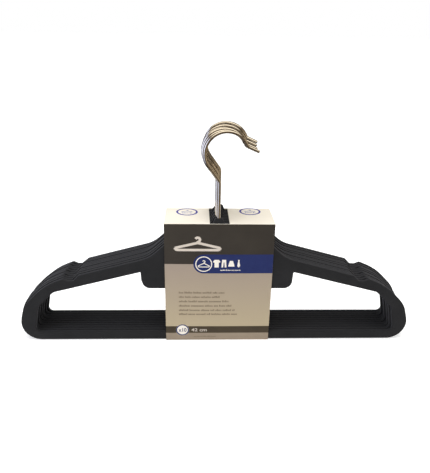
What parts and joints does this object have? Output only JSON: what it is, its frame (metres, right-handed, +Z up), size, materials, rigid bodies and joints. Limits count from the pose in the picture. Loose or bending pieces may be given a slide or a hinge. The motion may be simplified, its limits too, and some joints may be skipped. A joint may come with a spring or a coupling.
{
  "type": "pack of clothes hangers",
  "caption": "Bundle of thin flocked clothes hangers with swivelling wire hooks, strap notches and trouser bars, held and stood up by a printed card sleeve.",
  "frame": {"origin": "on the ground, under the centre of the pack's box", "axes": "+X along the hangers, the way the hooks open; +Y from the front hanger to the rear one; +Z up"},
  "size_m": [0.4238, 0.0484, 0.2314],
  "materials": {
    "flocked_plastic": "black nylon flock on moulded plastic, velvet-like",
    "hook_wire": "bright chrome plating on bent steel wire",
    "printed_card": "satin printed folding boxboard"
  },
  "bodies": {
    "pack": {"card_sleeve": "printed_card", "hanger_body_01": "flocked_plastic", "hanger_body_02": "flocked_plastic", "hanger_body_03": "flocked_plastic", "hanger_body_04": "flocked_plastic", "hanger_body_05": "flocked_plastic", "hanger_body_06": "flocked_plastic", "hanger_body_07": "flocked_plastic", "hanger_body_08": "flocked_plastic", "hanger_body_09": "flocked_plastic", "hanger_body_10": "flocked_plastic"},
    "hook_01": {"hook_01": "hook_wire"},
    "hook_02": {"hook_02": "hook_wire"},
    "hook_03": {"hook_03": "hook_wire"},
    "hook_04": {"hook_04": "hook_wire"},
    "hook_05": {"hook_05": "hook_wire"},
    "hook_06": {"hook_06": "hook_wire"},
    "hook_07": {"hook_07": "hook_wire"},
    "hook_08": {"hook_08": "hook_wire"},
    "hook_09": {"hook_09": "hook_wire"},
    "hook_10": {"hook_10": "hook_wire"}
  },
  "joints": [
    {"name": "hook_01_swivel", "type": "hinge", "parent": "pack", "child": "hook_01", "pos_m": [0, -0.02092, 0.125], "axis": [0, 0, 1], "range_deg": [-20, 20]},
    {"name": "hook_02_swivel", "type": "hinge", "parent": "pack", "child": "hook_02", "pos_m": [-0.0014, -0.01628, 0.125], "axis": [0, 0, 1], "range_deg": [-20, 20]},
    {"name": "hook_03_swivel", "type": "hinge", "parent": "pack", "child": "hook_03", "pos_m": [-0.002, -0.01162, 0.125], "axis": [0, 0, 1], "range_deg": [-20, 20]},
    {"name": "hook_04_swivel", "type": "hinge", "parent": "pack", "child": "hook_04", "pos_m": [-0.0009, -0.00698, 0.125], "axis": [0, 0, 1], "range_deg": [-20, 20]},
    {"name": "hook_05_swivel", "type": "hinge", "parent": "pack", "child": "hook_05", "pos_m": [-0.002, -0.00232, 0.125], "axis": [0, 0, 1], "range_deg": [-20, 20]},
    {"name": "hook_06_swivel", "type": "hinge", "parent": "pack", "child": "hook_06", "pos_m": [-0.0008, 0.00232, 0.125], "axis": [0, 0, 1], "range_deg": [-20, 20]},
    {"name": "hook_07_swivel", "type": "hinge", "parent": "pack", "child": "hook_07", "pos_m": [0.0001, 0.00698, 0.125], "axis": [0, 0, 1], "range_deg": [-20, 20]},
    {"name": "hook_08_swivel", "type": "hinge", "parent": "pack", "child": "hook_08", "pos_m": [-0.001, 0.01162, 0.125], "axis": [0, 0, 1], "range_deg": [-20, 20]},
    {"name": "hook_09_swivel", "type": "hinge", "parent": "pack", "child": "hook_09", "pos_m": [0.0005, 0.01628, 0.125], "axis": [0, 0, 1], "range_deg": [-20, 20]},
    {"name": "hook_10_swivel", "type": "hinge", "parent": "pack", "child": "hook_10", "pos_m": [0.002, 0.02092, 0.125], "axis": [0, 0, 1], "range_deg": [-20, 20]}
  ],
  "couplings": [
    {"joint": "hook_02_swivel", "follows": "hook_01_swivel", "ratio": 1},
    {"joint": "hook_03_swivel", "follows": "hook_01_swivel", "ratio": 1},
    {"joint": "hook_04_swivel", "follows": "hook_01_swivel", "ratio": 1},
    {"joint": "hook_05_swivel", "follows": "hook_01_swivel", "ratio": 1},
    {"joint": "hook_06_swivel", "follows": "hook_01_swivel", "ratio": 1},
    {"joint": "hook_07_swivel", "follows": "hook_01_swivel", "ratio": 1},
    {"joint": "hook_08_swivel", "follows": "hook_01_swivel", "ratio": 1},
    {"joint": "hook_09_swivel", "follows": "hook_01_swivel", "ratio": 1},
    {"joint": "hook_10_swivel", "follows": "hook_01_swivel", "ratio": 1}
  ]
}
